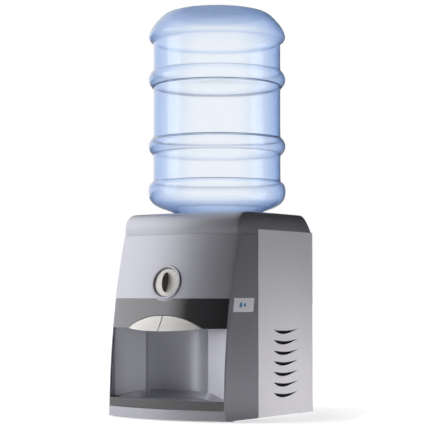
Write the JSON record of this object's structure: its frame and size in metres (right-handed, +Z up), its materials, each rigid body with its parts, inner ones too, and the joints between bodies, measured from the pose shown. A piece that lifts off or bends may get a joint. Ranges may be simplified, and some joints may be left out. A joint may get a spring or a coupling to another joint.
{
  "type": "countertop water dispenser",
  "caption": "Countertop water dispenser: silver cabinet with louvred steel sides, arched black band over twin press pads, cup bay with drip tray, and inverted blue bottle.",
  "frame": {"origin": "centre of the footprint on the plane the feet stand on", "axes": "+Z up, +X to the right seen from the front, front faces -Y"},
  "size_m": [0.283, 0.3353, 0.802],
  "materials": {
    "silver_plastic": "satin silver moulding",
    "black_plastic": "gloss black",
    "ivory_plastic": "off-white, fine satin",
    "dark_plastic": "dark brown-grey, fine texture",
    "bay_plastic": "mid grey satin",
    "painted_steel": "light grey powder coat",
    "zinc_steel": "zinc plated",
    "stainless": "drawn stainless",
    "copper": "bright copper tube",
    "foam": "expanded foam",
    "rubber": "black rubber",
    "bottle_plastic": "clear blue polycarbonate",
    "natural_plastic": "natural polypropylene"
  },
  "bodies": {
    "cabinet": {"alcove_liner": "bay_plastic", "back_panel": "painted_steel", "back_screw_left_lower": "zinc_steel", "back_screw_left_upper": "zinc_steel", "back_screw_right_lower": "zinc_steel", "back_screw_right_upper": "zinc_steel", "base_pan": "painted_steel", "bottle_receiver": "natural_plastic", "cold_tank": "stainless", "compressor_base_plate": "zinc_steel", "compressor_shell": "black_plastic", "condenser_coil": "black_plastic", "discharge_tube": "copper", "evaporator_coil": "copper", "filter_drier": "copper", "foot_front_left": "rubber", "foot_front_right": "rubber", "foot_rear_left": "rubber", "foot_rear_right": "rubber", "front_fascia": "silver_plastic", "grommet_1": "rubber", "grommet_2": "rubber", "grommet_3": "rubber", "grommet_4": "rubber", "hose_ambient": "natural_plastic", "hose_cold": "natural_plastic", "knob_bezel": "silver_plastic", "lever_pin": "zinc_steel", "power_inlet": "dark_plastic", "side_panel_left": "painted_steel", "side_panel_right": "painted_steel", "suction_tube": "copper", "tank_baffle": "natural_plastic", "tank_cover": "natural_plastic", "tank_insulation": "foam", "tank_shelf": "zinc_steel", "tap_bracket": "zinc_steel", "tap_spring_left": "zinc_steel", "tap_spring_right": "zinc_steel", "tap_valve_left": "natural_plastic", "tap_valve_right": "natural_plastic", "terminal_cover": "dark_plastic", "thermostat_body": "zinc_steel", "top_cover": "silver_plastic", "tray_shelf": "natural_plastic", "trim_band": "black_plastic"},
    "knob": {"thermostat_knob": "ivory_plastic", "knob_grip": "dark_plastic", "thermostat_shaft": "zinc_steel"},
    "lever_left": {"tap_lever_left": "ivory_plastic"},
    "lever_right": {"tap_lever_right": "ivory_plastic"},
    "plunger_left": {"tap_plunger_left": "ivory_plastic"},
    "plunger_right": {"tap_plunger_right": "ivory_plastic"},
    "tray": {"drip_tray": "black_plastic"},
    "grille": {"drip_grille": "bay_plastic"},
    "bottle": {"water_bottle": "bottle_plastic"}
  },
  "joints": [
    {"name": "thermostat_turn", "type": "hinge", "parent": "cabinet", "child": "knob", "pos_m": [0, -0.14024, 0.2575], "axis": [0, -0.9789, 0.2045], "range_deg": [-130, 130]},
    {"name": "lever_left_press", "type": "hinge", "parent": "cabinet", "child": "lever_left", "pos_m": [0, -0.13865, 0.208], "axis": [1, 0, 0], "range_deg": [0, 8], "stiffness_Nm_per_rad": 0.6, "springref_deg": -11.46},
    {"name": "lever_right_press", "type": "hinge", "parent": "cabinet", "child": "lever_right", "pos_m": [0, -0.13865, 0.208], "axis": [1, 0, 0], "range_deg": [0, 8], "stiffness_Nm_per_rad": 0.6, "springref_deg": -11.46},
    {"name": "plunger_left_push", "type": "slide", "parent": "cabinet", "child": "plunger_left", "axis": [0, 1, 0], "range_m": [0, 0.0032], "deforming": ["tap_spring_left"]},
    {"name": "plunger_right_push", "type": "slide", "parent": "cabinet", "child": "plunger_right", "axis": [0, 1, 0], "range_m": [0, 0.0032], "deforming": ["tap_spring_right"]},
    {"name": "tray_pull", "type": "slide", "parent": "cabinet", "child": "tray", "axis": [0, -1, 0], "range_m": [0, 0.11]},
    {"name": "grille_lift", "type": "slide", "parent": "tray", "child": "grille", "axis": [0, 0, 1], "range_m": [0, 0.03]},
    {"name": "bottle_lift", "type": "slide", "parent": "cabinet", "child": "bottle", "axis": [0, 0, 1], "range_m": [0, 0.1]}
  ],
  "couplings": [
    {"joint": "plunger_left_push", "follows": "lever_left_press", "m_per_rad": 0.0215},
    {"joint": "plunger_right_push", "follows": "lever_right_press", "m_per_rad": 0.0215}
  ]
}
